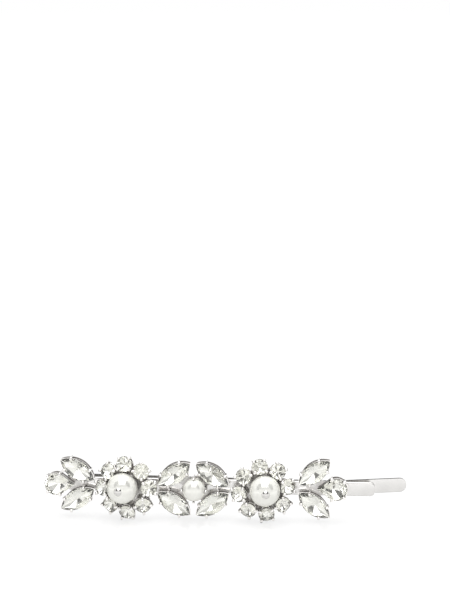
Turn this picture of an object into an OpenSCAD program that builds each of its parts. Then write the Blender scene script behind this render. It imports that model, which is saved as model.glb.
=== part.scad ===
// Crystal and pearl hair slide.
// A strip of spring steel is folded into two arms. The front arm carries an
// ornament of prong-set crystals and pearls, and hair is held between the arms.
// +X runs from the closed bow to the open tips, -Y is the decorated side and +Z is up.
// The origin is midway between the arms, behind the middle of the ornament.

/* [Spring arms] */
// Width of both arms
arm_w = 3.8; // [3.4:0.1:4.2]
// Thickness of the spring strip
arm_t = 0.8; // [0.6:0.1:1.0]
// Inner gap between the arms at the closed bow
bow_gap = 2.4; // [2.2:0.1:3]
// Distance from the ornament's middle to the bow's centre
bow_x = 33; // [32:0.5:34]
// Where the rear arm comes closest to the front arm
pinch_x = 35; // [33:0.5:38]
// Clearance left between the closed arms at that place
pinch_gap = 0.1; // [0.05:0.01:0.2]
// Reach of the front arm's tip
front_reach = 47.7; // [46:0.1:50]
// Reach of the rear arm's tip
rear_reach = 56.2; // [53:0.1:58]
// Angle at which the rear arm's tip leads away
lead_angle = 14; // [10:0.5:18]
// Inner radius of the bend behind the lead-in tip
bend_r = 8; // [5:0.5:12]
// Corner radius of the front arm's tip
front_corner_r = 1.2; // [0.8:0.1:1.6]

/* [Ornament layout] */
// Height of the ornament's centre line above the arms' centre line
ornament_lift = 0.15; // [0:0.05:0.3]
// Thickness of the backing plates
plate_t = 0.5; // [0.4:0.05:0.7]
// Distance of each flower from the middle
flower_x = 17.75; // [17.7:0.05:17.9]
// Outward lean of the left flower
left_flower_splay = 10; // [6:0.5:11]
// Outward lean of the right flower
right_flower_splay = 7; // [4:0.5:8]
// Turn of the left flower's petals
left_flower_turn = 3; // [0:1:5]
// Turn of the right flower's petals
right_flower_turn = 8; // [5:1:9]
// Outward offset of each flower's pearl from the middle of its petals
flower_pearl_out = 0.3; // [0:0.05:0.3]
// Rise of each flower's pearl above the middle of its petals
flower_pearl_rise = 0.4; // [0:0.05:0.4]
// Sideways place of the middle group
middle_x = -0.6; // [-0.7:0.05:-0.4]
// Drop of the middle group below the ornament's centre line
middle_drop = 0.45; // [0.3:0.05:0.5]
// Sideways offset of the middle pearl from the middle of its navettes
middle_pearl_x = 0.45; // [0:0.05:0.45]
// Rise of the middle pearl above the middle of its navettes
middle_pearl_rise = 0.5; // [0:0.05:0.5]
// Sideways place of the four middle navettes
mid_navette_x = 5.15; // [5.1:0.05:5.3]
// Height of the four middle navettes above and below the group's middle
mid_navette_z = 4.0; // [3.95:0.05:4.2]
// Slope of the four middle navettes
mid_navette_slope = 34; // [33:1:38]
// Rise of both buds above the ornament's centre line
bud_rise = 0.3; // [0:0.1:0.4]
// Sideways place of the bud navettes
bud_navette_x = 31.7; // [31.7:0.1:31.9]
// Height of the left bud's navettes above and below its middle
left_bud_navette_z = 4.0; // [3.9:0.05:4.3]
// Height of the right bud's navettes above and below its middle
right_bud_navette_z = 4.4; // [4.1:0.05:4.5]
// Slope of the left bud's navettes
left_bud_slope = 31; // [30:1:33]
// Slope of the right bud's navettes
right_bud_slope = 38; // [35:1:39]
// Sideways place of the end pears
pear_x = 36.5; // [36.3:0.1:37]

/* [Pearls] */
// Diameter of the two flower pearls
big_pearl_d = 8.2; // [7.8:0.1:8.2]
// Diameter of the middle pearl
small_pearl_d = 6; // [5.6:0.1:6.2]
// Diameter of the bore through each flower pearl
pearl_bore_d = 1; // [0.9:0.05:1.2]
// Diameter of each pearl pin
pin_d = 0.9; // [0.7:0.05:0.9]
// Diameter of the polished head on each pearl pin
pin_head_d = 2.2; // [1.8:0.1:2.4]

/* [Crystals] */
// Length of a navette crystal
navette_l = 10.4; // [10:0.1:10.4]
// Width of a navette crystal
navette_w = 5.1; // [4.9:0.1:5.1]
// Length of a pear crystal
pear_l = 8; // [7.8:0.1:8.2]
// Width of a pear crystal
pear_w = 6; // [5.6:0.1:6.1]
// Diameter of a round petal crystal
petal_d = 4.3; // [4:0.1:4.3]
// Radius of the ring of petals
petal_ring_r = 6.6; // [6.4:0.05:6.7]
// Outward lean of each petal
petal_lean = 24; // [20:1:26]

/* [Prongs] */
// Radius of a prong
prong_r = 0.28; // [0.25:0.01:0.32]
// Radius of the bead that ends a prong
bead_r = 0.4; // [0.35:0.01:0.45]

/* [Hidden] */
$fn = 64;

// Sides and levels used more than once
LEFT = -1;
RIGHT = 1;
UPPER = 1;
LOWER = -1;
petal_count = 8;

// Spring arms
bow_inner_r = bow_gap / 2;
bow_outer_r = bow_inner_r + arm_t;
front_face_y = -bow_outer_r;
span = pinch_x + bow_x;
// The closed rear arm leans in just enough to leave pinch_gap at the pinch
close_angle = acos((pinch_gap - bow_inner_r) / norm([bow_inner_r, span])) - atan2(span, bow_inner_r);
lead_turn = lead_angle + close_angle;
bend_reach = span * cos(close_angle) + bow_inner_r * sin(close_angle)
  + (bend_r + arm_t) * (sin(lead_angle) + sin(close_angle));
lead_l = (rear_reach + bow_x - bend_reach) / cos(lead_angle);

// Clearances: round a glued pearl, and between pieces that stand close together
glue = 0.02;
gap = 0.05;

// Pearls and their seats, with depths measured out from the front arm's face
plate_foot_r = 1.8;
pearl_r = big_pearl_d / 2;
pearl_rise = 0.3;
pearl_z = plate_t + pearl_rise + pearl_r;
seat_h = 1.1;
seat_r1 = 2.9;
seat_r2 = 2.5;
pin_head_r = pin_head_d / 2;
pin_flat_z = sqrt(pow(pearl_r, 2) - pow(pin_head_r, 2));
// The head is a cap of a ball whose centre is this far below the pearl's flat
pin_dome_drop = 0.35;
small_pearl_r = small_pearl_d / 2;
small_pearl_rise = 1.5;
small_pearl_z = plate_t + small_pearl_rise + small_pearl_r;
pearl_cup_h = 2.1;
pearl_cup_r1 = 1.9;
pearl_cup_r2 = 2.7;
// The middle pearl's prongs end this far above its middle
pearl_prong_over = 0.9;

// Crystals: depth of the back, height of the crown and of the girdle
girdle_h = 0.1;
back_keel = 0.08;
table_share = 0.6;
fancy_back = 1.8;
fancy_crown = 1.0;
petal_back = 1.6;
petal_crown = 0.75;

// Settings: the back of a crystal rests on the rim's inner edge
rim_share = 0.86;
wall_share = 1.06;
floor_t = 0.35;
fancy_rim = floor_t + 1.6;
rest_share = (1 - rim_share) / (1 - back_keel);
fancy_seat = fancy_rim + fancy_back * rest_share;
petal_r = petal_d / 2;
cup_rim_h = 1.75;
cup_base_r = petal_r - 0.45;
cup_flare = 0.257;
cup_seat = cup_rim_h + petal_back * rest_share;
cup_base_ring_r = petal_ring_r - cup_seat * sin(petal_lean);
cup_base_z = plate_t + cup_base_r * sin(petal_lean) + gap;
cup_floor_t = 0.5;
cup_floor_r = petal_r - 0.8;
plate_lobe_r = cup_base_r + 0.1;
// Prongs: where the bead sits above the girdle's underside, and how far outside the stone
bead_over = 0.42;
bead_out = 0.15;
cup_bead_out = 0.18;

// The middle plate: a disc under the pearl and an arm to each navette
middle_disc_r = 2.6;
middle_bar_w = 3;
bud_disc_r = 2.6;
bud_disc_out = 0.4;

// Outlines, counter-clockwise. A navette is two arcs of this radius.
function navette_arc_r(l, w) = (l * l + w * w) / (4 * w);
function navette_outline(l, w, n) =
  let (r = navette_arc_r(l, w), c = r - w / 2, h = asin(l / (2 * r)))
  concat(
    [for (i = [0 : n - 1]) let (a = 90 - h + 2 * h * i / n) [r * cos(a), r * sin(a) - c]],
    [for (i = [0 : n - 1]) let (a = 270 - h + 2 * h * i / n) [r * cos(a), r * sin(a) + c]]
  );
// A pear is a circle at -X with straight flanks that meet at a tip at +X
function pear_flank(l, w) = acos(w / (2 * l - w));
function pear_outline(l, w, n) =
  let (r = w / 2, t = pear_flank(l, w))
  concat(
    [for (i = [0 : n]) let (a = t + (360 - 2 * t) * i / n) [r * cos(a) + r - l / 2, r * sin(a)]],
    [[l / 2, 0]]
  );
function round_outline(d, n) = [for (i = [0 : n - 1]) d / 2 * [cos(360 * i / n), sin(360 * i / n)]];

// Frame on the front arm's face: X right, Y up, Z out
module on_arm() {
  translate([0, front_face_y, ornament_lift]) rotate([90, 0, 0]) children();
}

function flower_turn(side) = side == LEFT ? left_flower_turn : right_flower_turn;
function flower_splay(side) = side == LEFT ? left_flower_splay : right_flower_splay;
// The plate stands off just far enough for its leaning rim to clear the arm
function flower_lift(side) = (cup_base_ring_r + plate_lobe_r) * sin(flower_splay(side)) + gap;
function bud_navette_z(side) = side == LEFT ? left_bud_navette_z : right_bud_navette_z;
function bud_slope(side) = side == LEFT ? left_bud_slope : right_bud_slope;

// Frame on the underside of a flower's leaning plate
module at_flower(side) {
  on_arm() translate([side * flower_x, 0, 0]) rotate([0, side * flower_splay(side), 0])
    translate([0, 0, flower_lift(side)]) children();
}

// Frame under a flower's pearl
module at_flower_pearl(side) {
  at_flower(side) translate([side * flower_pearl_out, flower_pearl_rise, 0]) children();
}

module at_middle() {
  on_arm() translate([middle_x, -middle_drop, 0]) children();
}

module at_middle_pearl() {
  at_middle() translate([middle_pearl_x, middle_pearl_rise, 0]) children();
}

module at_bud() {
  on_arm() translate([0, bud_rise, 0]) children();
}

// Petal 1 is the topmost and the numbers run clockwise
module at_petal(side, i) {
  rotate([0, 0, 90 + flower_turn(side) - (i - 1) * 360 / petal_count])
    translate([cup_base_ring_r, 0, cup_base_z])
      rotate([0, petal_lean, 0])
        children();
}

module at_mid_navette(side, level) {
  at_middle() translate([side * mid_navette_x, level * mid_navette_z, plate_t])
    rotate([0, 0, -side * level * mid_navette_slope]) children();
}

module at_bud_navette(side, level) {
  at_bud() translate([side * bud_navette_x, level * bud_navette_z(side), plate_t])
    rotate([0, 0, side * level * bud_slope(side)]) children();
}

module at_pear(side) {
  at_bud() translate([side * pear_x, 0, plate_t]) rotate([0, 0, side == LEFT ? 0 : 180]) children();
}

// Flat shapes
module navette_shape(share = 1) {
  r = share * navette_arc_r(navette_l, navette_w);
  c = r - share * navette_w / 2;
  intersection() {
    translate([0, -c]) circle(r);
    translate([0, c]) circle(r);
  }
}

module pear_shape(share = 1) {
  r = share * pear_w / 2;
  tip = share * pear_l / 2;
  t = pear_flank(pear_l, pear_w);
  translate([r - tip, 0]) circle(r);
  polygon([[r - tip, 0], [r * cos(t) + r - tip, -r * sin(t)], [tip, 0], [r * cos(t) + r - tip, r * sin(t)]]);
}

// A faceted crystal. Its girdle's underside is at z = 0.
module crystal(outline, back, crown) {
  n = len(outline);
  levels = [[back_keel, -back], [1, 0], [1, girdle_h], [table_share, girdle_h + crown]];
  points = [for (v = levels) for (p = outline) [p[0] * v[0], p[1] * v[0], v[1]]];
  sides = [for (k = [0 : len(levels) - 2]) for (i = [0 : n - 1])
    let (j = (i + 1) % n) [k * n + i, (k + 1) * n + i, (k + 1) * n + j, k * n + j]];
  underside = [for (i = [0 : n - 1]) i];
  table = [for (i = [0 : n - 1]) len(levels) * n - 1 - i];
  polyhedron(points, concat([underside], sides, [table]));
}

// A prong beside point p of a crystal's edge, whose outward direction is angle a
module prong(p, a, seat) {
  out = [cos(a), sin(a)];
  foot = p + (prong_r + 0.03) * out;
  bead = p + bead_out * out;
  translate([foot[0], foot[1], 0]) cylinder(h = seat + 0.35, r = prong_r, $fn = 24);
  translate([bead[0], bead[1], seat + bead_over]) sphere(bead_r, $fn = 24);
}

// A tray setting: a floor and a wall that follow the crystal's outline
module tray() {
  linear_extrude(floor_t) children(0);
  difference() {
    linear_extrude(fancy_rim) children(0);
    translate([0, 0, floor_t]) linear_extrude(fancy_rim) children(1);
  }
}

module navette_setting() {
  r = navette_arc_r(navette_l, navette_w);
  c = r - navette_w / 2;
  prong_angle = asin(navette_l / (4 * r));
  tray() {
    navette_shape(wall_share);
    navette_shape(rim_share);
  }
  for (end = [-1, 1], edge = [-1, 1]) {
    a = edge * (90 - end * prong_angle);
    prong([r * cos(a), r * sin(a) - edge * c], a, fancy_seat);
  }
}

module pear_setting() {
  r = pear_w / 2;
  tray() {
    pear_shape(wall_share);
    pear_shape(rim_share);
  }
  for (a = [-128, -65, 65, 128])
    prong([r * cos(a) + r - pear_l / 2, r * sin(a)], a, fancy_seat);
}

module navette_crystal() {
  translate([0, 0, fancy_seat]) crystal(navette_outline(navette_l, navette_w, 6), fancy_back, fancy_crown);
}

module pear_crystal() {
  translate([0, 0, fancy_seat]) crystal(pear_outline(pear_l, pear_w, 10), fancy_back, fancy_crown);
}

// One round four-prong cup with its base centred on the origin
module petal_cup() {
  difference() {
    union() {
      cylinder(h = cup_rim_h, r1 = cup_base_r, r2 = cup_base_r + cup_flare * cup_rim_h);
      translate([0, 0, -cup_base_r]) cylinder(h = cup_base_r + 0.1, r = cup_base_r);
    }
    translate([0, 0, cup_floor_t])
      cylinder(h = cup_rim_h - cup_floor_t, r1 = cup_floor_r, r2 = rim_share * petal_r);
    translate([0, 0, cup_rim_h - 0.01]) cylinder(h = 0.1, r = rim_share * petal_r);
  }
  for (a = [45 : 90 : 315]) rotate([0, 0, a]) {
    translate([cup_base_r + 0.2, 0, 0.1]) rotate([0, atan(cup_flare), 0])
      cylinder(h = cup_seat + 0.25, r = prong_r, $fn = 24);
    translate([petal_r + cup_bead_out, 0, cup_seat + bead_over]) sphere(bead_r, $fn = 24);
  }
}

// Sub-parts
module front_arm() {
  color("gainsboro") translate([0, front_face_y + arm_t, 0]) rotate([90, 0, 0]) linear_extrude(arm_t) {
    translate([-bow_x, -arm_w / 2]) square([bow_x + front_reach - front_corner_r, arm_w]);
    translate([0, front_corner_r - arm_w / 2]) square([front_reach, arm_w - 2 * front_corner_r]);
    for (side = [-1, 1])
      translate([front_reach - front_corner_r, side * (arm_w / 2 - front_corner_r)]) circle(front_corner_r);
  }
}

// The closed rear arm: a straight stretch, a bend away from the hair and a rounded tip
module rear_arm() {
  color("gainsboro") translate([-bow_x, 0, 0]) rotate([0, 0, -close_angle]) {
    translate([0, bow_inner_r, -arm_w / 2]) cube([span, arm_t, arm_w]);
    translate([span, bow_outer_r + bend_r, 0]) {
      rotate([0, 0, -90]) rotate_extrude(angle = lead_turn)
        translate([bend_r, -arm_w / 2]) square([arm_t, arm_w]);
      rotate([0, 0, lead_turn]) translate([0, -bend_r, 0]) rotate([90, 0, 0]) linear_extrude(arm_t) {
        translate([0, -arm_w / 2]) square([lead_l - arm_w / 2, arm_w]);
        translate([lead_l - arm_w / 2, 0]) circle(arm_w / 2);
      }
    }
  }
}

module spring_bow() {
  color("gainsboro") translate([-bow_x, 0, 0]) rotate([0, 0, 90 - close_angle])
    rotate_extrude(angle = 180 + close_angle)
      translate([bow_inner_r, -arm_w / 2]) square([arm_t, arm_w]);
}

module centre_plate() {
  color("silver") at_middle() linear_extrude(plate_t) {
    translate([middle_pearl_x, middle_pearl_rise]) circle(middle_disc_r);
    for (side = [LEFT, RIGHT], level = [LOWER, UPPER]) {
      rotate(atan2(level * mid_navette_z, side * mid_navette_x))
        translate([0, -middle_bar_w / 2]) square([norm([mid_navette_x, mid_navette_z]), middle_bar_w]);
      translate([side * mid_navette_x, level * mid_navette_z])
        rotate(-side * level * mid_navette_slope) navette_shape();
    }
  }
}

// A scalloped disc that leans outward, on a foot that is cut flush with the arm
module flower_plate(side) {
  color("silver") difference() {
    at_flower(side) {
      linear_extrude(plate_t) {
        circle(cup_base_ring_r);
        for (i = [1 : petal_count])
          rotate(90 + flower_turn(side) - (i - 1) * 360 / petal_count)
            translate([cup_base_ring_r, 0]) circle(plate_lobe_r);
      }
      translate([0, -ornament_lift, -3]) cylinder(h = 3, r = plate_foot_r);
    }
    on_arm() translate([side * flower_x - 10, -10, -5]) cube([20, 20, 5]);
  }
}

module bud_plate(side) {
  color("silver") at_bud() linear_extrude(plate_t) {
    translate([side * (bud_navette_x + bud_disc_out), 0]) circle(bud_disc_r);
    for (level = [LOWER, UPPER])
      translate([side * bud_navette_x, level * bud_navette_z(side)])
        rotate(side * level * bud_slope(side)) navette_shape();
    translate([side * pear_x, 0]) rotate(side == LEFT ? 0 : 180) pear_shape();
  }
}

// A dished cup with four prongs that reach past the middle of the pearl
module centre_pearl_cup() {
  post_x = small_pearl_r + prong_r + gap;
  post_top = small_pearl_z + pearl_prong_over;
  color("silver") at_middle_pearl() {
    difference() {
      translate([0, 0, plate_t]) cylinder(h = pearl_cup_h, r1 = pearl_cup_r1, r2 = pearl_cup_r2);
      translate([0, 0, small_pearl_z]) sphere(small_pearl_r + glue);
    }
    for (a = [0 : 90 : 270]) rotate([0, 0, a]) {
      translate([1.5, -prong_r, plate_t]) cube([post_x - 1.5, 2 * prong_r, 0.5]);
      translate([post_x, 0, plate_t]) cylinder(h = post_top - plate_t, r = prong_r, $fn = 24);
      translate([post_x - 0.12, 0, post_top]) sphere(bead_r, $fn = 24);
    }
  }
}

module centre_pearl() {
  color("ivory") at_middle_pearl() translate([0, 0, small_pearl_z]) sphere(small_pearl_r);
}

module pearl_seat(side) {
  color("silver") at_flower_pearl(side) difference() {
    translate([0, 0, plate_t]) cylinder(h = seat_h, r1 = seat_r1, r2 = seat_r2);
    translate([0, 0, pearl_z]) sphere(pearl_r + glue);
    cylinder(h = seat_h + 2, d = pearl_bore_d);
  }
}

// The pearl is bored right through and has a small flat under the pin's head
module flower_pearl(side) {
  color("ivory") at_flower_pearl(side) difference() {
    translate([0, 0, pearl_z]) sphere(pearl_r);
    translate([0, 0, pearl_z - pearl_r - 1]) cylinder(h = 2 * pearl_r + 2, d = pearl_bore_d);
    translate([0, 0, pearl_z + pin_flat_z]) cylinder(h = 1, r = pin_head_r + 0.5);
  }
}

module pearl_pin(side) {
  head_z = pearl_z + pin_flat_z;
  color("silver") at_flower_pearl(side) {
    translate([0, 0, plate_t]) cylinder(h = head_z - plate_t + 0.1, d = pin_d);
    translate([0, 0, head_z]) difference() {
      translate([0, 0, -pin_dome_drop]) sphere(norm([pin_head_r, pin_dome_drop]));
      translate([-2, -2, -4]) cube([4, 4, 4]);
    }
  }
}

// Eight separate cups that stand flush on the flower's plate
module petal_cups(side) {
  color("silver") at_flower(side) difference() {
    for (i = [1 : petal_count]) at_petal(side, i) petal_cup();
    translate([-10, -10, plate_t - 5]) cube([20, 20, 5]);
  }
}

module petal_crystal(side, i) {
  color("white") at_flower(side) at_petal(side, i) translate([0, 0, cup_seat])
    crystal(round_outline(petal_d, 12), petal_back, petal_crown);
}

module mid_setting(side, level) {
  color("silver") at_mid_navette(side, level) navette_setting();
}

module mid_navette(side, level) {
  color("white") at_mid_navette(side, level) navette_crystal();
}

module bud_setting(side, level) {
  color("silver") at_bud_navette(side, level) navette_setting();
}

module bud_navette(side, level) {
  color("white") at_bud_navette(side, level) navette_crystal();
}

module end_pear_setting(side) {
  color("silver") at_pear(side) pear_setting();
}

module end_pear_crystal(side) {
  color("white") at_pear(side) pear_crystal();
}

front_arm();
rear_arm();
spring_bow();
centre_plate();
flower_plate(LEFT);  // left_flower_plate
flower_plate(RIGHT);  // right_flower_plate
bud_plate(LEFT);  // left_bud_plate
bud_plate(RIGHT);  // right_bud_plate
centre_pearl_cup();
centre_pearl();
pearl_seat(LEFT);  // left_pearl_seat
flower_pearl(LEFT);  // left_flower_pearl
pearl_pin(LEFT);  // left_pearl_pin
pearl_seat(RIGHT);  // right_pearl_seat
flower_pearl(RIGHT);  // right_flower_pearl
pearl_pin(RIGHT);  // right_pearl_pin
petal_cups(LEFT);  // left_petal_cups
petal_cups(RIGHT);  // right_petal_cups
petal_crystal(LEFT, 1);  // left_petal_crystal_1
petal_crystal(LEFT, 2);  // left_petal_crystal_2
petal_crystal(LEFT, 3);  // left_petal_crystal_3
petal_crystal(LEFT, 4);  // left_petal_crystal_4
petal_crystal(LEFT, 5);  // left_petal_crystal_5
petal_crystal(LEFT, 6);  // left_petal_crystal_6
petal_crystal(LEFT, 7);  // left_petal_crystal_7
petal_crystal(LEFT, 8);  // left_petal_crystal_8
petal_crystal(RIGHT, 1);  // right_petal_crystal_1
petal_crystal(RIGHT, 2);  // right_petal_crystal_2
petal_crystal(RIGHT, 3);  // right_petal_crystal_3
petal_crystal(RIGHT, 4);  // right_petal_crystal_4
petal_crystal(RIGHT, 5);  // right_petal_crystal_5
petal_crystal(RIGHT, 6);  // right_petal_crystal_6
petal_crystal(RIGHT, 7);  // right_petal_crystal_7
petal_crystal(RIGHT, 8);  // right_petal_crystal_8
mid_setting(LEFT, UPPER);  // mid_upper_left_setting
mid_navette(LEFT, UPPER);  // mid_upper_left_navette
mid_setting(RIGHT, UPPER);  // mid_upper_right_setting
mid_navette(RIGHT, UPPER);  // mid_upper_right_navette
mid_setting(LEFT, LOWER);  // mid_lower_left_setting
mid_navette(LEFT, LOWER);  // mid_lower_left_navette
mid_setting(RIGHT, LOWER);  // mid_lower_right_setting
mid_navette(RIGHT, LOWER);  // mid_lower_right_navette
bud_setting(LEFT, UPPER);  // left_bud_upper_setting
bud_navette(LEFT, UPPER);  // left_bud_upper_navette
bud_setting(LEFT, LOWER);  // left_bud_lower_setting
bud_navette(LEFT, LOWER);  // left_bud_lower_navette
bud_setting(RIGHT, UPPER);  // right_bud_upper_setting
bud_navette(RIGHT, UPPER);  // right_bud_upper_navette
bud_setting(RIGHT, LOWER);  // right_bud_lower_setting
bud_navette(RIGHT, LOWER);  // right_bud_lower_navette
end_pear_setting(LEFT);  // left_pear_setting
end_pear_crystal(LEFT);  // left_pear_crystal
end_pear_setting(RIGHT);  // right_pear_setting
end_pear_crystal(RIGHT);  // right_pear_crystal
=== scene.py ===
"""Looks of the crystal and pearl hair slide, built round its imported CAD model."""

import math

import bmesh
import bpy
from mathutils import Matrix, Vector, noise


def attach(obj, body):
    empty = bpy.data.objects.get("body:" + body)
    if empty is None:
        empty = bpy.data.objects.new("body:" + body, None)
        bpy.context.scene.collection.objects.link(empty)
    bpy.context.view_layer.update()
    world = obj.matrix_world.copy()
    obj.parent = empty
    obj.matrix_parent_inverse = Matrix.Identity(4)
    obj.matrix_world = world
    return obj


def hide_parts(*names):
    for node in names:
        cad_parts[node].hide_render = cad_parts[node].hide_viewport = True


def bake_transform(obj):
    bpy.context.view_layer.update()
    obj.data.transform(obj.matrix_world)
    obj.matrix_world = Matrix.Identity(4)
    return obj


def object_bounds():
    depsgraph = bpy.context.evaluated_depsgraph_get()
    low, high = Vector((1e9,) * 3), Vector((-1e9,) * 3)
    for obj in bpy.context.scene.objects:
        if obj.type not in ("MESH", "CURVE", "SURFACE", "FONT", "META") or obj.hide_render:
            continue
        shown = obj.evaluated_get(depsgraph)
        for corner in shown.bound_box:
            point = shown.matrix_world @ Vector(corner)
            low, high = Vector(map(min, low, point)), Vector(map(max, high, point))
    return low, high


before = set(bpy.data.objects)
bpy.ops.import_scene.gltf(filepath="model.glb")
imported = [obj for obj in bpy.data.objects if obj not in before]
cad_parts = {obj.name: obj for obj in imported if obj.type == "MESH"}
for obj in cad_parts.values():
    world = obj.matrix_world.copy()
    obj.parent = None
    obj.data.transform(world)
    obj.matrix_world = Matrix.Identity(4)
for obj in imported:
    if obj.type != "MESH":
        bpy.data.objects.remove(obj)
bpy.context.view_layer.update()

# Shapes are built in millimetres and scaled to metres as each piece is made.
MM = 0.001
LEFT, RIGHT = -1, 1
LOWER, UPPER = -1, 1
FRONT_BODY, REAR_BODY = "front_side", "rear_side"
SIDE_NAMES = {LEFT: "left", RIGHT: "right"}
LEVEL_NAMES = {LOWER: "lower", UPPER: "upper"}

# The spring strip, as the CAD has it
ARM_W, ARM_T = 3.8, 0.8
BOW_GAP, BOW_X = 2.4, 33.0
PINCH_X, PINCH_GAP = 35.0, 0.1
FRONT_REACH, REAR_REACH = 47.7, 56.2
LEAD_ANGLE, BEND_R = math.radians(14), 8.0
FRONT_CORNER_R = 1.2
BOW_INNER_R = BOW_GAP / 2
BOW_OUTER_R = BOW_INNER_R + ARM_T

# The ornament's layout, as the CAD has it
LIFT, PLATE_T = 0.15, 0.5
FLOWER_X = 17.75
SPLAY = {LEFT: math.radians(10), RIGHT: math.radians(7)}
TURN = {LEFT: math.radians(3), RIGHT: math.radians(8)}
FLOWER_PEARL_OUT, FLOWER_PEARL_RISE = 0.3, 0.4
MIDDLE_X, MIDDLE_DROP = -0.6, 0.45
MIDDLE_PEARL_X, MIDDLE_PEARL_RISE = 0.45, 0.5
MID_X, MID_Z, MID_SLOPE = 5.15, 4.0, math.radians(34)
BUD_RISE, BUD_X = 0.3, 31.7
BUD_Z = {LEFT: 4.0, RIGHT: 4.4}
BUD_SLOPE = {LEFT: math.radians(31), RIGHT: math.radians(38)}
PEAR_X = 36.5

# Stones and pearls
PEARL_R, SMALL_PEARL_R = 4.1, 3.0
BORE_R, PIN_R, PIN_HEAD_R, PIN_DROP = 0.5, 0.45, 1.1, 0.65
NAVETTE_L, NAVETTE_W = 10.4, 5.1
PEAR_L, PEAR_W = 8.0, 6.0
PETAL_R, PETAL_RING_R, PETAL_LEAN = 2.15, 6.6, math.radians(24)
PETALS = 8

# How deep the stones sit in their settings, as the CAD has it
GIRDLE_H, KEEL, RIM_SHARE = 0.1, 0.08, 0.86
FANCY_BACK, PETAL_BACK = 1.8, 1.6
REST_SHARE = (1 - RIM_SHARE) / (1 - KEEL)
TRAY_FLOOR = 0.35
TRAY_RIM = TRAY_FLOOR + 1.6
FANCY_SEAT = TRAY_RIM + FANCY_BACK * REST_SHARE
CUP_RIM, CUP_BASE_R = 1.75, PETAL_R - 0.45
CUP_SEAT = CUP_RIM + PETAL_BACK * REST_SHARE
CUP_RING_R = PETAL_RING_R - CUP_SEAT * math.sin(PETAL_LEAN)
CUP_BASE_Z = PLATE_T + CUP_BASE_R * math.sin(PETAL_LEAN) + 0.05
PEARL_Z = PLATE_T + 0.3 + PEARL_R
SMALL_PEARL_Z = PLATE_T + 1.5 + SMALL_PEARL_R


# ---------------------------------------------------------------- places

def move(x=0.0, y=0.0, z=0.0):
    return Matrix.Translation((x, y, z))


def turn(axis, angle):
    return Matrix.Rotation(angle, 4, axis)


# On the front arm's face: X right, Y up, Z out of the decorated side
ON_ARM = move(0, -BOW_OUTER_R, LIFT) @ turn("X", math.pi / 2)


def at_flower(side):
    lift = (CUP_RING_R + CUP_BASE_R + 0.1) * math.sin(SPLAY[side]) + 0.05
    return ON_ARM @ move(side * FLOWER_X) @ turn("Y", side * SPLAY[side]) @ move(z=lift)


def at_petal(side, i):
    angle = math.pi / 2 + TURN[side] - (i - 1) * math.tau / PETALS
    return at_flower(side) @ turn("Z", angle) @ move(CUP_RING_R, 0, CUP_BASE_Z) @ turn("Y", PETAL_LEAN)


def at_flower_pearl(side):
    return at_flower(side) @ move(side * FLOWER_PEARL_OUT, FLOWER_PEARL_RISE)


def at_middle():
    return ON_ARM @ move(MIDDLE_X, -MIDDLE_DROP)


def at_middle_pearl():
    return at_middle() @ move(MIDDLE_PEARL_X, MIDDLE_PEARL_RISE)


def at_mid_navette(side, level):
    return at_middle() @ move(side * MID_X, level * MID_Z, PLATE_T) @ turn("Z", -side * level * MID_SLOPE)


def at_bud_navette(side, level):
    place = ON_ARM @ move(side * BUD_X, BUD_RISE + level * BUD_Z[side], PLATE_T)
    return place @ turn("Z", side * level * BUD_SLOPE[side])


def at_pear(side):
    return ON_ARM @ move(side * PEAR_X, BUD_RISE, PLATE_T) @ turn("Z", 0 if side == LEFT else math.pi)


# ---------------------------------------------------------------- mesh tools

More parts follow.
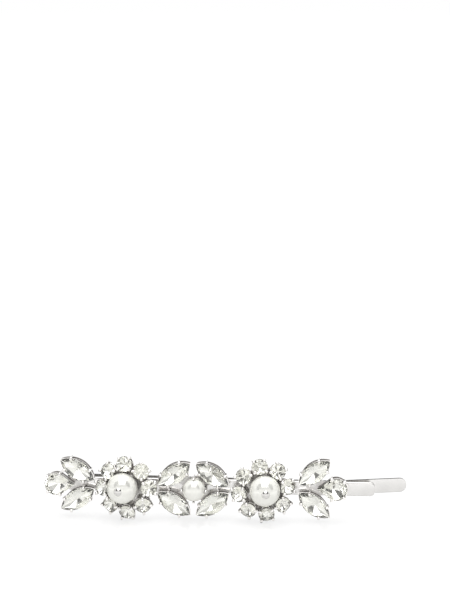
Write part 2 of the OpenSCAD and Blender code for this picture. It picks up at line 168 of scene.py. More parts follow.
class Shape:
    """Points and faces of one piece in millimetres, each face with a material number."""

    def __init__(self):
        self.points = []
        self.faces = []
        self.materials = []

    def add(self, points, faces, place=Matrix(), material=0):
        first = len(self.points)
        self.points += [place @ Vector(p) for p in points]
        self.faces += [[first + k for k in face] for face in faces]
        self.materials += [material] * len(faces)

    def loft(self, rings, place=Matrix()):
        """Skins a row of rings that have equal numbers of points, and caps both ends."""
        sides = len(rings[0])
        points = [p for ring in rings for p in ring]
        faces = []
        for k in range(len(rings) - 1):
            a, b = k * sides, (k + 1) * sides
            faces += [[a + i, a + (i + 1) % sides, b + (i + 1) % sides, b + i] for i in range(sides)]
        faces.append(list(range(sides))[::-1])
        faces.append([len(points) - sides + i for i in range(sides)])
        self.add(points, faces, place)

    def spin(self, profile, place, sides=48):
        """Revolves (radius, height) pairs about Z."""
        angles = [math.tau * i / sides for i in range(sides)]
        rings = [[(r * math.cos(a), r * math.sin(a), z) for a in angles] for r, z in profile]
        self.loft(rings, place)

    def tube(self, path, radii, place, sides=14):
        """A round bar along a path, with a rounded tip at its far end."""
        path = [Vector(p) for p in path]
        steps = [(b - a).normalized() for a, b in zip(path, path[1:])]
        ways = [steps[0]] + [(a + b).normalized() for a, b in zip(steps, steps[1:])] + [steps[-1]]
        # The tip's rings, as shares of the bar's radius: how far along, and how wide
        for share, out in ((0.38, 0.92), (0.71, 0.71), (0.92, 0.38), (1.0, 0.05)):
            path.append(path[len(steps)] + ways[-1] * radii[len(steps)] * share)
            radii = [*radii, radii[len(steps)] * out]
            ways.append(ways[len(steps)])
        across = ways[0].orthogonal().normalized()
        rings = []
        for p, r, way in zip(path, radii, ways):
            across = (across - across.dot(way) * way).normalized()
            side = way.cross(across)
            angles = [math.tau * i / sides for i in range(sides)]
            rings.append([p + r * (math.cos(a) * across + math.sin(a) * side) for a in angles])
        self.loft(rings, place)

    def build(self, name, materials, body=FRONT_BODY, nodes=(), slot=None, sharp=None, ride=True):
        """Makes the Blender object, outside faces out, hangs it on its body's empty unless ride is off, and
        hides the CAD nodes it replaces.
        """
        mesh = bpy.data.meshes.new(name)
        mesh.from_pydata([p * MM for p in self.points], [], self.faces)
        for face, number in zip(mesh.polygons, self.materials):
            face.material_index = number
        for material in materials:
            mesh.materials.append(material)
        bm = bmesh.new()
        bm.from_mesh(mesh)
        bmesh.ops.recalc_face_normals(bm, faces=bm.faces)
        bm.to_mesh(mesh)
        bm.free()
        if sharp is None:
            mesh.shade_flat()
        else:
            mesh.shade_smooth()
            mesh.set_sharp_from_angle(angle=math.radians(sharp))
        piece = bpy.data.objects.new(name, mesh)
        bpy.context.scene.collection.objects.link(piece)
        if ride:
            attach(piece, body)
        if nodes:
            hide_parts(*nodes)
        return piece


# ---------------------------------------------------------------- outlines

def navette_point(t, share=1.0):
    """A point of the navette's edge: t runs from 0 at one tip to 1 round to it again."""
    r = (NAVETTE_L ** 2 + NAVETTE_W ** 2) / (4 * NAVETTE_W)
    c, h = r - NAVETTE_W / 2, math.asin(NAVETTE_L / (2 * r))
    t %= 1.0
    if t < 0.5:
        a = math.pi / 2 - h + 4 * h * t
        return share * r * math.cos(a), share * (r * math.sin(a) - c)
    a = 1.5 * math.pi - h + 4 * h * (t - 0.5)
    return share * r * math.cos(a), share * (r * math.sin(a) + c)


def pear_point(t, share=1.0):
    """A point of the pear's edge: its tip at t = 0, two straight flanks and a round end."""
    r, flank, t = PEAR_W / 2, 0.125, t % 1.0
    a0 = math.acos(PEAR_W / (2 * PEAR_L - PEAR_W))
    centre = r - PEAR_L / 2
    if flank <= t <= 1 - flank:
        a = a0 + (math.tau - 2 * a0) * (t - flank) / (1 - 2 * flank)
        return share * (r * math.cos(a) + centre), share * r * math.sin(a)
    along = (t if t < flank else 1 - t) / flank
    edge = 1 if t < flank else -1
    x = PEAR_L / 2 + along * (r * math.cos(a0) + centre - PEAR_L / 2)
    return share * x, share * edge * along * r * math.sin(a0)


def petal_point(t, share=1.0):
    return share * PETAL_R * math.cos(math.tau * t), share * PETAL_R * math.sin(math.tau * t)


# ---------------------------------------------------------------- materials

def new_material(name, colour, roughness, metallic=0.0):
    material = bpy.data.materials.new(name)
    material.use_nodes = True
    shader = material.node_tree.nodes["Principled BSDF"]
    shader.inputs["Base Color"].default_value = (*colour, 1)
    shader.inputs["Roughness"].default_value = roughness
    shader.inputs["Metallic"].default_value = metallic
    return material, material.node_tree.nodes, material.node_tree.links, shader


def object_noise(nodes, links, scale, stretch=(1, 1, 1), detail=3.0):
    """Noise in the piece's own space, in cycles per metre, drawn out along an axis by stretch."""
    where = nodes.new("ShaderNodeTexCoord")
    mapping = nodes.new("ShaderNodeMapping")
    mapping.inputs["Scale"].default_value = stretch
    texture = nodes.new("ShaderNodeTexNoise")
    texture.inputs["Scale"].default_value = scale
    texture.inputs["Detail"].default_value = detail
    links.new(where.outputs["Object"], mapping.inputs["Vector"])
    links.new(mapping.outputs["Vector"], texture.inputs["Vector"])
    return texture


def spread(nodes, links, value, low, high):
    """Maps a 0 to 1 noise onto low to high."""
    span = nodes.new("ShaderNodeMapRange")
    span.inputs["From Min"].default_value = 0.3
    span.inputs["From Max"].default_value = 0.7
    span.inputs["To Min"].default_value = low
    span.inputs["To Max"].default_value = high
    links.new(value, span.inputs["Value"])
    return span.outputs["Result"]


def tint(nodes, links, value, dark, light):
    ramp = nodes.new("ShaderNodeValToRGB")
    ramp.color_ramp.elements[0].position = 0.3
    ramp.color_ramp.elements[0].color = (*dark, 1)
    ramp.color_ramp.elements[1].position = 0.7
    ramp.color_ramp.elements[1].color = (*light, 1)
    links.new(value, ramp.inputs["Fac"])
    return ramp.outputs["Color"]


def bump(nodes, links, value, shader, depth, strength):
    node = nodes.new("ShaderNodeBump")
    node.inputs["Distance"].default_value = depth
    node.inputs["Strength"].default_value = strength
    links.new(value, node.inputs["Height"])
    links.new(node.outputs["Normal"], shader.inputs["Normal"])


def rhodium_material(name, metallic, smooth, rough, dark, light):
    """Bright plate over a casting: painted shade, where an occlusion node darkens the base colour down in
    the recesses, and a slightly rippled skin.
    """
    material, nodes, links, shader = new_material(name, light, rough, metallic)
    patches = object_noise(nodes, links, 700)
    grain = object_noise(nodes, links, 3500, detail=2.0)
    # Painted shade: near other surfaces the base colour is mixed towards a dark brown
    shade_occlusion = nodes.new("ShaderNodeAmbientOcclusion")
    shade_occlusion.inputs["Distance"].default_value = 0.00035
    shade_occlusion.samples = 8
    depth = nodes.new("ShaderNodeMapRange")
    depth.inputs["From Min"].default_value = 0.45
    depth.inputs["From Max"].default_value = 0.85
    links.new(shade_occlusion.outputs["AO"], depth.inputs["Value"])
    mix = nodes.new("ShaderNodeMix")
    mix.data_type = "RGBA"
    # Colour of the painted shade in the recesses
    mix.inputs["A"].default_value = (0.05, 0.035, 0.025, 1)
    links.new(depth.outputs["Result"], mix.inputs["Factor"])
    links.new(tint(nodes, links, patches.outputs["Fac"], dark, light), mix.inputs["B"])
    links.new(mix.outputs["Result"], shader.inputs["Base Color"])
    links.new(spread(nodes, links, grain.outputs["Fac"], smooth, rough), shader.inputs["Roughness"])
    bump(nodes, links, grain.outputs["Fac"], shader, 0.00001, 0.3)
    return material


def spring_material():
    """Drawn strip: fine lines along its length under a satin plate."""
    material, nodes, links, shader = new_material("spring_steel", (0.7, 0.69, 0.675), 0.2, 1.0)
    lines = object_noise(nodes, links, 9000, stretch=(0.012, 1, 1), detail=4.0)
    patches = object_noise(nodes, links, 260, detail=2.0)
    links.new(tint(nodes, links, patches.outputs["Fac"], (0.67, 0.66, 0.645), (0.73, 0.72, 0.705)),
              shader.inputs["Base Color"])
    links.new(spread(nodes, links, lines.outputs["Fac"], 0.14, 0.27), shader.inputs["Roughness"])
    bump(nodes, links, lines.outputs["Fac"], shader, 0.000004, 0.4)
    return material


def edge_material():
    """The strip's sheared edges: plain bright along the outer half of the front arm, and painted near
    black, a painted dark reflection, from the front arm's inner half round the bow to the rear tip.
    """
    material, nodes, links, shader = new_material("sheared_edge_and_painted_reflection", (0.1, 0.1, 0.1), 0.35, 1.0)
    lines = object_noise(nodes, links, 7000, stretch=(0.05, 1, 1), detail=4.0)
    where = nodes.new("ShaderNodeTexCoord")
    split = nodes.new("ShaderNodeSeparateXYZ")
    links.new(where.outputs["Object"], split.inputs["Vector"])
    # Painted dark reflection: edges further in than the front arm's outer half get the near-black colour
    rear = nodes.new("ShaderNodeMapRange")
    rear.inputs["From Min"].default_value = -(BOW_INNER_R + 0.5) * MM
    rear.inputs["From Max"].default_value = -(BOW_INNER_R + 0.15) * MM
    links.new(split.outputs["Y"], rear.inputs["Value"])
    mix = nodes.new("ShaderNodeMix")
    mix.data_type = "RGBA"
    links.new(rear.outputs["Result"], mix.inputs["Factor"])
    streaks = lines.outputs["Fac"]
    links.new(tint(nodes, links, streaks, (0.6, 0.59, 0.575), (0.72, 0.71, 0.695)), mix.inputs["A"])
    # Near-black colour of the painted dark reflection
    links.new(tint(nodes, links, streaks, (0.03, 0.028, 0.027), (0.08, 0.077, 0.074)), mix.inputs["B"])
    links.new(mix.outputs["Result"], shader.inputs["Base Color"])
    links.new(spread(nodes, links, lines.outputs["Fac"], 0.25, 0.45), shader.inputs["Roughness"])
    return material


def pin_material():
    """Polished steel of the pearl pins, darker than the plate."""
    material, nodes, links, shader = new_material("pin_steel", (0.66, 0.65, 0.63), 0.05, 1.0)
    clouds = object_noise(nodes, links, 1500)
    links.new(tint(nodes, links, clouds.outputs["Fac"], (0.62, 0.61, 0.59), (0.7, 0.69, 0.67)),
              shader.inputs["Base Color"])
    return material


def crystal_material():
    """Clear polished crystal with the faintest uneven tone."""
    material, nodes, links, shader = new_material("clear_crystal", (0.985, 0.99, 0.985), 0.0)
    shader.inputs["Transmission Weight"].default_value = 1.0
    shader.inputs["IOR"].default_value = 1.25
    shader.inputs["Coat Weight"].default_value = 1.0
    shader.inputs["Coat IOR"].default_value = 1.56
    shader.inputs["Coat Roughness"].default_value = 0.0
    clouds = object_noise(nodes, links, 180)
    links.new(tint(nodes, links, clouds.outputs["Fac"], (0.965, 0.975, 0.96), (0.995, 0.995, 0.99)),
              shader.inputs["Base Color"])
    return material


def foil_material():
    """The mirror coat on a crystal's back, seen through the crystal."""
    material, nodes, links, shader = new_material("crystal_foil", (0.9, 0.9, 0.88), 0.03, 0.88)
    clouds = object_noise(nodes, links, 900)
    links.new(tint(nodes, links, clouds.outputs["Fac"], (0.9, 0.895, 0.84), (0.97, 0.965, 0.93)),
              shader.inputs["Base Color"])
    return material


def pearl_material():
    """Layered pearl coat: a soft cloudy body, a warm grey-green sheen at the edge and a clear skin."""
    material, nodes, links, shader = new_material("faux_pearl", (0.82, 0.82, 0.775), 0.08, 0.3)
    shader.inputs["Specular Tint"].default_value = (0.8, 0.8, 0.66, 1)
    clouds = object_noise(nodes, links, 450)
    links.new(tint(nodes, links, clouds.outputs["Fac"], (0.79, 0.785, 0.745), (0.83, 0.83, 0.785)),
              shader.inputs["Base Color"])
    shader.inputs["Coat Weight"].default_value = 0.5
    shader.inputs["Coat Roughness"].default_value = 0.05
    grain = object_noise(nodes, links, 6000, detail=2.0)
    bump(nodes, links, grain.outputs["Fac"], shader, 0.000004, 0.3)
    return material


def floor_material():
    """A white table top with painted light: it glows though it is no lamp, and only a little of its light
    is bounced, so shadows on it stay faint.
    """
    material, nodes, links, shader = new_material("white_floor", (0.3, 0.3, 0.3), 0.2)
    shader.inputs["Specular IOR Level"].default_value = 0.4
    shader.inputs["Emission Color"].default_value = (1, 1, 1, 1)
    haze = object_noise(nodes, links, 20)
    links.new(spread(nodes, links, haze.outputs["Fac"], 0.16, 0.24), shader.inputs["Roughness"])
    where = nodes.new("ShaderNodeTexCoord")
    reach = nodes.new("ShaderNodeVectorMath")
    reach.operation = "LENGTH"
    links.new(where.outputs["Object"], reach.inputs[0])
    # Painted light: the glow is dimmer near the slide, where its shadow falls, and full white from there on
    glow = nodes.new("ShaderNodeMapRange")
    glow.inputs["From Min"].default_value = 0.1
    glow.inputs["From Max"].default_value = 0.4
    glow.inputs["To Min"].default_value = 0.62
    glow.inputs["To Max"].default_value = 1.1
    links.new(reach.outputs["Value"], glow.inputs["Value"])
    links.new(glow.outputs["Result"], shader.inputs["Emission Strength"])
    return material


RHODIUM = rhodium_material("rhodium_plate", metallic=1.0, smooth=0.04, rough=0.14,
                           dark=(0.84, 0.82, 0.8), light=(0.93, 0.915, 0.895))
SATIN_RHODIUM = rhodium_material("satin_rhodium_plate", metallic=0.8, smooth=0.25, rough=0.4,
                                 dark=(0.63, 0.615, 0.6), light=(0.79, 0.775, 0.755))
STEEL = spring_material()
CRYSTAL = crystal_material()
FOIL = foil_material()
PEARL = pearl_material()
SHEARED_EDGE_AND_PAINTED_REFLECTION = edge_material()
PIN_STEEL = pin_material()


# ---------------------------------------------------------------- stones

def stone(name, node, outline, seat, place, crown, table, tier, tier_depth, depth, keel, mains=8):
    """A brilliant-cut stone: a table, stars, kites and break facets, over a mirror-backed pavilion.

    The pavilion has a steep upper tier, and a shallow lower one from share tier down to its keel.
    """
    ends = [k / mains for k in range(mains)]
    mids = [(k + 0.5) / mains for k in range(mains)]
    top, rim = seat + GIRDLE_H, seat

    def ring(ts, share, z):
        return [(*outline(t, share), z) for t in ts]

    def under(ts, share, z):
        return [(p[0] * (share + (1 - share) * keel[0]), p[1] * (share + (1 - share) * keel[1]), z)
                for p in (outline(t) for t in ts)]

    rings = [
        ring(ends, table, top + crown),
        ring(mids, (table + 1) / 2 + 0.01, top + crown * 0.56),
        ring(sorted(ends + mids), 1.0, top),
        ring(sorted(ends + mids), 1.0, rim),
        under(mids, tier, rim - tier_depth),
        under(ends, 0.0, rim - depth),
    ]
    starts = [sum(len(r) for r in rings[:k]) for k in range(len(rings))]
    tb, bz, gt, gb, lo, kl = starts
    front, rear = [[tb + k for k in range(mains)]], []
    for k in range(mains):
        n, g, h, e = (k + 1) % mains, 2 * k, 2 * k + 1, (2 * k + 2) % (2 * mains)
        front += [[tb + k, bz + k, tb + n], [tb + n, bz + k, gt + e], [tb + n, gt + e, bz + n]]
        front += [[bz + k, gt + g, gt + h], [bz + k, gt + h, gt + e]]
        front += [[gt + g, gb + g, gb + h, gt + h], [gt + h, gb + h, gb + e, gt + e]]
        rear += [[lo + k, gb + h, gb + g], [lo + k, gb + e, gb + h]]
        rear += [[gb + e, lo + k, kl + n], [gb + e, kl + n, lo + n]]
        rear += [[lo + k, kl + k, kl + n]]
    shape = Shape()
    points = [p for r in rings for p in r]
    shape.add(points, front, place, 0)
    shape.faces += rear + [[kl + k for k in range(mains)][::-1]]
    shape.materials += [1] * (len(rear) + 1)
    return shape.build(name, (CRYSTAL, FOIL), nodes=(node,), slot="clear_crystal")


def navette_stone(node, place):
    stone(node + "_stone", node, navette_point, FANCY_SEAT, place, crown=0.7, table=0.5,
          tier=0.55, tier_depth=0.62, depth=1.3, keel=(0.08, 0.03))


def pear_stone(node, place):
    stone(node + "_stone", node, pear_point, FANCY_SEAT, place, crown=0.8, table=0.5,
          tier=0.55, tier_depth=0.75, depth=1.55, keel=(0.1, 0.03))


def petal_stone(node, place):
    stone(node + "_stone", node, petal_point, CUP_SEAT, place, crown=0.65, table=0.5,
          tier=0.5, tier_depth=0.9, depth=1.5, keel=(0.04, 0.04))


# ---------------------------------------------------------------- settings

def claw(shape, p, out, seat, foot_z, foot_in, place):
    """A prong that rises outside the wall and folds over the crown in a polished bead."""
    def at(outward, z):
        return (p[0] + outward * out[0], p[1] + outward * out[1], z)

    path = [at(0.24 - foot_in, foot_z), at(0.29 - foot_in * 0.4, seat * 0.55), at(0.33, seat - 0.15),
            at(0.3, seat + 0.2), at(0.16, seat + 0.45), at(-0.08, seat + 0.56)]
    shape.tube(path, [0.3, 0.27, 0.29, 0.35, 0.42, 0.42], place)


def outward(outline, t):
    """The unit direction straight out of an outline's edge."""
    (x0, y0), (x1, y1) = outline(t - 0.003), outline(t + 0.003)
    length = math.hypot(x1 - x0, y1 - y0)
    return (y1 - y0) / length, (x0 - x1) / length


def tray(name, node, outline, claws, place, steps=72):
    """A stamped tray with a rolled lip and four claws."""
    profile = [(0.9, 0.0), (0.95, 0.05), (0.965, 0.3), (0.975, 0.6), (0.99, 0.9), (1.02, TRAY_RIM - 0.35),
               (1.055, TRAY_RIM - 0.16), (1.05, TRAY_RIM - 0.04), (1.01, TRAY_RIM + 0.02),
               (0.95, TRAY_RIM - 0.01), (0.89, TRAY_RIM - 0.12),
               (0.84, TRAY_FLOOR + 0.25), (0.7, TRAY_FLOOR)]
    shape = Shape()
    ts = [k / steps for k in range(steps)]
    shape.loft([[(*outline(t, share), z) for t in ts] for share, z in profile], place)
    for t in claws:
        claw(shape, outline(t), outward(outline, t), FANCY_SEAT, 0.1, 0.12, place)
    return shape.build(name, (RHODIUM,), nodes=(node,), slot="rhodium_plate", sharp=38)


def navette_tray(node, place):
    tray(node + "_tray", node, navette_point, (0.12, 0.38, 0.62, 0.88), place)


def pear_tray(node, place):
    tray(node + "_tray", node, pear_point, (0.17, 0.37, 0.63, 0.83), place)


def petal_cups(side):
    """Eight scalloped cups whose feet are cut to the leaning plate, each with four claws."""
    shape, sides = Shape(), 56
    drop = CUP_BASE_Z - PLATE_T + 0.1
    for i in range(1, PETALS + 1):
        place = at_petal(side, i)
        angles = [math.tau * k / sides for k in range(sides)]

        def foot(a):
            return (CUP_BASE_R * math.cos(a) * math.sin(PETAL_LEAN) - drop) / math.cos(PETAL_LEAN)

        def circle(r, z, wave=0.0):
            return [(r * math.cos(a), r * math.sin(a), z - wave * (1 + math.cos(4 * a)) / 2)
                    for a in angles]

        rings = [
            [(CUP_BASE_R * math.cos(a), CUP_BASE_R * math.sin(a), foot(a)) for a in angles],
            circle(CUP_BASE_R, 0.02), circle(CUP_BASE_R + 0.06, 0.15), circle(PETAL_R - 0.32, 0.4),
            circle(PETAL_R - 0.18, 0.95, 0.1), circle(PETAL_R + 0.03, CUP_RIM - 0.14, 0.34),
            circle(PETAL_R + 0.07, CUP_RIM - 0.03, 0.4), circle(PETAL_R, CUP_RIM + 0.03, 0.4),
            circle(PETAL_R - 0.12, CUP_RIM + 0.02, 0.4), circle(PETAL_R - 0.28, CUP_RIM - 0.14, 0.34),
            circle(PETAL_R - 0.7, 0.9), circle(PETAL_R - 1.1, 0.55),
        ]
        shape.loft(rings, place)
        for k in range(4):
            a = math.radians(45 + 90 * k)
            out = (math.cos(a), math.sin(a))
            claw(shape, (PETAL_R * out[0], PETAL_R * out[1]), out, CUP_SEAT, 0.1, 0.36, place)
    name = SIDE_NAMES[side] + "_petal_cups"
    return shape.build(name + "_cast", (RHODIUM,), nodes=(name,), slot="rhodium_plate", sharp=38)


def centre_cup():
    """The dished cup and four claws that hold the middle pearl."""
    shape, place = Shape(), at_middle_pearl()
    shape.spin([(1.7, PLATE_T), (1.9, PLATE_T + 0.06), (1.95, 0.9), (2.05, 1.5), (2.6, 2.35), (2.72, 2.5),
                (2.7, 2.58), (2.55, 2.6), (2.2, 2.35), (1.4, 2.02), (0.5, 1.9)], place)
    for k in range(4):
        a = math.radians(90 * k)
        out = Vector((math.cos(a), math.sin(a), 0))
        path = [out * r + Vector((0, 0, z)) for r, z in
                ((1.8, 0.75), (2.7, 0.85), (3.15, 1.35), (3.3, 2.4), (3.33, SMALL_PEARL_Z - 0.8),
                 (3.32, SMALL_PEARL_Z + 0.3), (3.2, SMALL_PEARL_Z + 0.9))]
        shape.tube(path, [0.3, 0.3, 0.3, 0.28, 0.27, 0.3, 0.36], place)
    return shape.build("centre_pearl_cup_cast", (RHODIUM,), nodes=("centre_pearl_cup",),
                       slot="rhodium_plate", sharp=38)


# ---------------------------------------------------------------- pearls

def big_pearl(side):
    """An 8 mm pearl, bored through, with a small seat worn flat under the pin's head."""
    shape = Shape()
    flat_z = math.sqrt(PEARL_R ** 2 - PIN_HEAD_R ** 2)
    low = math.acos(-math.cos(math.asin(BORE_R / PEARL_R)))
    high = math.asin((PIN_HEAD_R + 0.12) / PEARL_R)
    rows = 40
    profile = [(BORE_R, -flat_z + 1.0)]
    for k in range(rows + 1):
        a = low + (high - low) * k / rows
        profile.append((PEARL_R * math.sin(a), PEARL_R * math.cos(a)))
    profile += [(PIN_HEAD_R, flat_z + 0.005), (PIN_HEAD_R - 0.3, flat_z - 0.01), (BORE_R, flat_z - 0.02),
                (BORE_R, flat_z - 1.0)]
    shape.spin(profile, at_flower_pearl(side) @ move(z=PEARL_Z), sides=96)
    name = SIDE_NAMES[side] + "_flower_pearl"
    return shape.build(name + "_bead", (PEARL,), nodes=(name,), slot="faux_pearl", sharp=35)


def small_pearl():
    """The middle pearl, with the faintest out-of-round that a coated bead has."""
    shape, rows = Shape(), 48
    profile = [(max(SMALL_PEARL_R * math.sin(math.pi * k / rows), 0.01),
                -SMALL_PEARL_R * math.cos(math.pi * k / rows)) for k in range(rows + 1)]
    shape.spin(profile, at_middle_pearl() @ move(z=SMALL_PEARL_Z), sides=96)
    centre = at_middle_pearl() @ Vector((0, 0, SMALL_PEARL_Z))
    for p in shape.points:
        p += (p - centre).normalized() * 0.012 * noise.noise(p * 0.5)
    return shape.build("centre_pearl_bead", (PEARL,), nodes=("centre_pearl",), slot="faux_pearl", sharp=60)


def pearl_pin(side):
    """A shaft through the pearl under a polished dome."""
    flat_z = PEARL_Z + math.sqrt(PEARL_R ** 2 - PIN_HEAD_R ** 2)
    dome_r = math.hypot(PIN_HEAD_R, PIN_DROP)
    profile = [(PIN_R, PLATE_T), (PIN_R, flat_z + 0.01), (PIN_HEAD_R - 0.08, flat_z + 0.01)]
    start = math.acos(PIN_DROP / dome_r)
    for k in range(13):
        a = start * (1 - k / 12)
        profile.append((max(dome_r * math.sin(a), 0.01), flat_z - PIN_DROP + dome_r * math.cos(a)))
    shape = Shape()
    shape.spin(profile, at_flower_pearl(side), sides=48)
    name = SIDE_NAMES[side] + "_pearl_pin"
    return shape.build(name + "_turned", (PIN_STEEL,), nodes=(name,), slot="rhodium_plate", sharp=35)


# ---------------------------------------------------------------- the folded strip

INNER_EDGE_R, OUTER_EDGE_R = 0.06, 0.3
CORNER_POINTS = 6


def strip_ring(origin, inward, half_w, half_t=ARM_T / 2):
    """The strip's cross-section at one station: well rounded outside the fold, crisp inside it."""
    ring = []
    # Starts at the upper corner inside the fold and ends at the upper corner outside it
    for sw, st, first in ((1, 1, 0), (-1, 1, 90), (-1, -1, 180), (1, -1, 270)):
        edge = min(INNER_EDGE_R if st > 0 else OUTER_EDGE_R, half_t * 0.95, half_w * 0.95)
        for k in range(CORNER_POINTS):
            a = math.radians(first + 90 * k / (CORNER_POINTS - 1))
            w = sw * (half_w - edge) + edge * math.cos(a)
            t = st * (half_t - edge) + edge * math.sin(a)
            ring.append(origin + inward * t + Vector((0, 0, w)))
    return ring


def strip(name, stations, body, node, ride=True):
    """Skins the strip through its stations, with its sheared edges and ends in their own material, which
    carries a painted dark reflection.
    """
    rings = [strip_ring(*station) for station in stations]
    sides = len(rings[0])
    broad_face = sides // 4 - 1
    shape = Shape()
    shape.loft(rings)
    ends = len(shape.faces) - 2
    for k in range(len(shape.faces)):
        if k >= ends or k % (sides // 2) != broad_face:
            shape.materials[k] = 1
    return shape.build(name, (STEEL, SHEARED_EDGE_AND_PAINTED_REFLECTION), body=body, nodes=(node,), slot="spring_steel",
                       sharp=40, ride=ride)


def close_angle():
    """How far the closed rear arm leans in towards the front arm."""
    span = PINCH_X + BOW_X
    reach = math.hypot(BOW_INNER_R, span)
    return math.acos((PINCH_GAP - BOW_INNER_R) / reach) - math.atan2(span, BOW_INNER_R)


def front_arm():
    y, back = -BOW_INNER_R - ARM_T / 2, Vector((0, 1, 0))
    corner_x = FRONT_REACH - FRONT_CORNER_R
    stations = [(Vector((-BOW_X + (corner_x + BOW_X) * k / 40, y, 0)), back, ARM_W / 2) for k in range(41)]
    for k in range(1, 9):
        a = math.pi / 2 * k / 8
        half_w = ARM_W / 2 - FRONT_CORNER_R * (1 - math.cos(a))
        half_t = ARM_T / 2 - (0.14 if k == 8 else 0.04 if k == 7 else 0)
        x = corner_x + FRONT_CORNER_R * math.sin(a)
        stations.append((Vector((x, y, 0)), back, half_w, half_t))
    return strip("front_arm_strip", stations, FRONT_BODY, "front_arm")


def rear_arm():
    """Straight, then bent away from the hair, then straight again to a round tip."""
    lean, span = close_angle(), PINCH_X + BOW_X
    mid_r = BOW_INNER_R + ARM_T / 2
    hub = Vector((-BOW_X, 0, 0))

    def place(x, y):
        along = x * math.cos(lean) + y * math.sin(lean)
        away = y * math.cos(lean) - x * math.sin(lean)
        return hub + Vector((along, away, 0))

    def across(angle):
        return Vector((math.sin(angle - lean), -math.cos(angle - lean), 0))

    stations = [(place(span * k / 40, mid_r), across(0), ARM_W / 2) for k in range(41)]
    bend, total = BEND_R + ARM_T / 2, LEAD_ANGLE + lean
    for k in range(1, 13):
        a = total * k / 12
        middle = place(span + bend * math.sin(a), mid_r + bend * (1 - math.cos(a)))
        stations.append((middle, across(a), ARM_W / 2))
    start = stations[-1][0]
    way = Vector((math.cos(LEAD_ANGLE), math.sin(LEAD_ANGLE), 0))
    half_w = ARM_W / 2
    # The tip reaches REAR_REACH, measured at the strip's face that is nearer the hair
    run = (REAR_REACH - start.x - math.sin(LEAD_ANGLE) * ARM_T / 2) / way.x - half_w
    stations += [(start + way * run * k / 8, across(total), half_w) for k in range(1, 9)]
    for k in range(1, 13):
        a = math.pi / 2 * k / 12
        half_t = ARM_T / 2 - (0.2 if k == 12 else 0.1 if k == 11 else 0.03 if k == 10 else 0)
        stations.append((start + way * (run + half_w * math.sin(a)), across(total),
                         max(half_w * math.cos(a), 0.12), half_t))
    return strip("rear_arm_strip", stations, REAR_BODY, "rear_arm")


def spring_bow():
    """The closed fold between the two arms, as one fixed piece."""
    lean, mid_r = close_angle(), BOW_INNER_R + ARM_T / 2
    first, last = -math.pi / 2, -1.5 * math.pi - lean
    stations = []
    for k in range(37):
        a = first + (last - first) * k / 36
        out = Vector((math.cos(a), math.sin(a), 0))
        stations.append((Vector((-BOW_X, 0, 0)) + mid_r * out, -out, ARM_W / 2))
    bow = strip("spring_bow_strip", stations, FRONT_BODY, "spring_bow", ride=False)
    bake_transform(bow)
    return bow


# ---------------------------------------------------------------- assembly

front_arm()
rear_arm()
spring_bow()

for node in ("centre_plate", "left_flower_plate", "right_flower_plate", "left_bud_plate", "right_bud_plate",
             "left_pearl_seat", "right_pearl_seat"):
    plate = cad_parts[node]
    plate.data.materials.clear()
    plate.data.materials.append(SATIN_RHODIUM)

for side in (LEFT, RIGHT):
    petal_cups(side)
    for i in range(1, PETALS + 1):
        petal_stone(f"{SIDE_NAMES[side]}_petal_crystal_{i}", at_petal(side, i))
    big_pearl(side)
    pearl_pin(side)
    pear_tray(SIDE_NAMES[side] + "_pear_setting", at_pear(side))
    pear_stone(SIDE_NAMES[side] + "_pear_crystal", at_pear(side))
    for level in (LOWER, UPPER):
        mid = f"mid_{LEVEL_NAMES[level]}_{SIDE_NAMES[side]}"
        bud = f"{SIDE_NAMES[side]}_bud_{LEVEL_NAMES[level]}"
        navette_tray(mid + "_setting", at_mid_navette(side, level))
        navette_stone(mid + "_navette", at_mid_navette(side, level))
        navette_tray(bud + "_setting", at_bud_navette(side, level))
        navette_stone(bud + "_navette", at_bud_navette(side, level))
centre_cup()
small_pearl()


# ---------------------------------------------------------------- studio

# Brightness of the white surroundings
SKY = 1.04
# Dim patches in them: azimuth from the camera's side, height, half-width and half-height
# in degrees, and brightness
DIM_PATCHES = (
    (-56, 38, 14, 24, 0.02),
    (65, 38, 14, 24, 0.02),
    (4, 36, 46, 9, 0.6),
    (180, 16, 80, 15, 0.6),
)


def studio_floor():
    """A pale floor under the lowest petals."""
    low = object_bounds()[0].z
    reach = 4.0
    mesh = bpy.data.meshes.new("floor")
    corners = [(-reach, -reach, low), (reach, -reach, low), (reach, reach, low), (-reach, reach, low)]
    mesh.from_pydata(corners, [], [(0, 1, 2, 3)])
    mesh.materials.append(floor_material())
    floor = bpy.data.objects.new("floor", mesh)
    bpy.context.scene.collection.objects.link(floor)


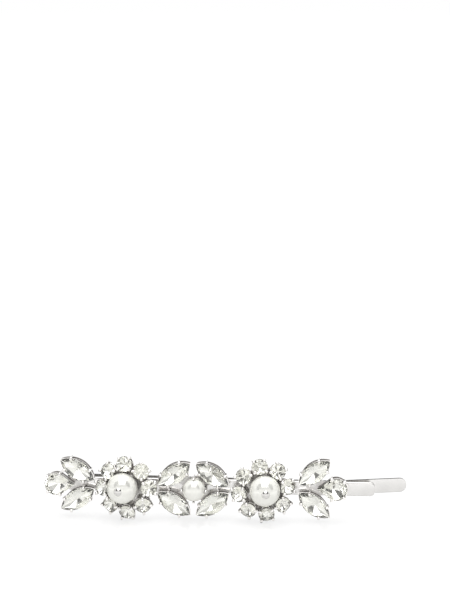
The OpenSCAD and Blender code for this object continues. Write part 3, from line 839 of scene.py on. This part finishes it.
def dim_patch(nodes, links, ray, azimuth, height, wide, tall, level):
    """How bright the surroundings are near one dim patch: level inside it, 1 outside it."""
    def across(axis, size):
        dot = nodes.new("ShaderNodeVectorMath")
        dot.operation = "DOT_PRODUCT"
        dot.inputs[1].default_value = axis
        links.new(ray, dot.inputs[0])
        share = nodes.new("ShaderNodeMath")
        share.operation = "DIVIDE"
        share.inputs[1].default_value = size
        links.new(dot.outputs["Value"], share.inputs[0])
        return share.outputs["Value"]

    a, e = math.radians(azimuth), math.radians(height)
    toward = Vector((math.sin(a) * math.cos(e), -math.cos(a) * math.cos(e), math.sin(e)))
    side = Vector((math.cos(a), math.sin(a), 0))
    up = toward.cross(side) * -1
    box = nodes.new("ShaderNodeCombineXYZ")
    links.new(across(side, math.sin(math.radians(wide))), box.inputs["X"])
    links.new(across(up, math.sin(math.radians(tall))), box.inputs["Y"])
    size = nodes.new("ShaderNodeVectorMath")
    size.operation = "LENGTH"
    links.new(box.outputs["Vector"], size.inputs[0])
    edge = nodes.new("ShaderNodeMapRange")
    edge.inputs["From Min"].default_value = 0.85
    edge.inputs["From Max"].default_value = 1.15
    edge.inputs["To Min"].default_value = level
    edge.inputs["To Max"].default_value = 1.0
    links.new(size.outputs["Value"], edge.inputs["Value"])
    # Only the half of the sky that faces the patch is dimmed
    facing = nodes.new("ShaderNodeMath")
    facing.operation = "LESS_THAN"
    facing.inputs[1].default_value = 0.0
    links.new(across(toward, 1.0), facing.inputs[0])
    result = nodes.new("ShaderNodeMath")
    result.operation = "MAXIMUM"
    links.new(edge.outputs["Result"], result.inputs[0])
    links.new(facing.outputs["Value"], result.inputs[1])
    return result.outputs["Value"]


def studio_world():
    """White surroundings with dim patches, which the metal and stones show. The camera sees plain white."""
    world = bpy.data.worlds.new("studio")
    bpy.context.scene.world = world
    world.use_nodes = True
    nodes, links = world.node_tree.nodes, world.node_tree.links
    where = nodes.new("ShaderNodeTexCoord")
    ray = where.outputs["Generated"]
    strength = None
    for patch in DIM_PATCHES:
        level = dim_patch(nodes, links, ray, *patch)
        both = nodes.new("ShaderNodeMath")
        both.operation = "MULTIPLY"
        links.new(level, both.inputs[0])
        both.inputs[1].default_value = SKY
        if strength:
            links.new(strength, both.inputs[1])
        strength = both.outputs["Value"]
    path = nodes.new("ShaderNodeLightPath")
    seen = nodes.new("ShaderNodeMath")
    seen.operation = "MAXIMUM"
    links.new(strength, seen.inputs[0])
    links.new(path.outputs["Is Camera Ray"], seen.inputs[1])
    links.new(seen.outputs["Value"], nodes["Background"].inputs["Strength"])
    nodes["Background"].inputs["Color"].default_value = (1, 1, 1, 1)


def soft_box(name, place, size, power, target):
    light = bpy.data.lights.new(name, "AREA")
    light.shape = "RECTANGLE"
    light.size, light.size_y = size
    light.energy = power
    lamp = bpy.data.objects.new(name, light)
    lamp.location = place
    lamp.rotation_mode = "QUATERNION"
    lamp.rotation_quaternion = (Vector(target) - Vector(place)).to_track_quat("-Z", "Y")
    bpy.context.scene.collection.objects.link(lamp)


def studio_camera():
    """A long lens a little above the slide, which sits low in a tall frame."""
    azimuth, elevation = math.radians(4.6), math.radians(15)
    distance, field = 0.52, 0.1215
    frame_w, frame_h, low = 450, 600, 189
    target = Vector((0.0076, 0, -0.0012))
    forward = Vector((-math.sin(azimuth) * math.cos(elevation), math.cos(azimuth) * math.cos(elevation),
                      -math.sin(elevation)))
    side = Vector((math.cos(azimuth), math.sin(azimuth), 0))
    rise = math.atan(low / frame_w * field / distance)
    data = bpy.data.cameras.new("camera")
    data.sensor_width = 36
    data.lens = data.sensor_width * distance / (field * frame_h / frame_w)
    data.clip_start, data.clip_end = 0.01, 20
    camera = bpy.data.objects.new("camera", data)
    camera.location = target - forward * distance
    aim = Matrix.Rotation(rise, 3, side) @ forward
    camera.rotation_mode = "QUATERNION"
    camera.rotation_quaternion = aim.to_track_quat("-Z", "Y")
    bpy.context.scene.collection.objects.link(camera)
    bpy.context.scene.camera = camera


studio_floor()
studio_world()
soft_box("overhead", (0.03, -0.13, 0.6), (0.55, 0.96), 3.3, (0.03, -0.13, 0))
studio_camera()
bpy.context.scene.view_settings.view_transform = "Standard"
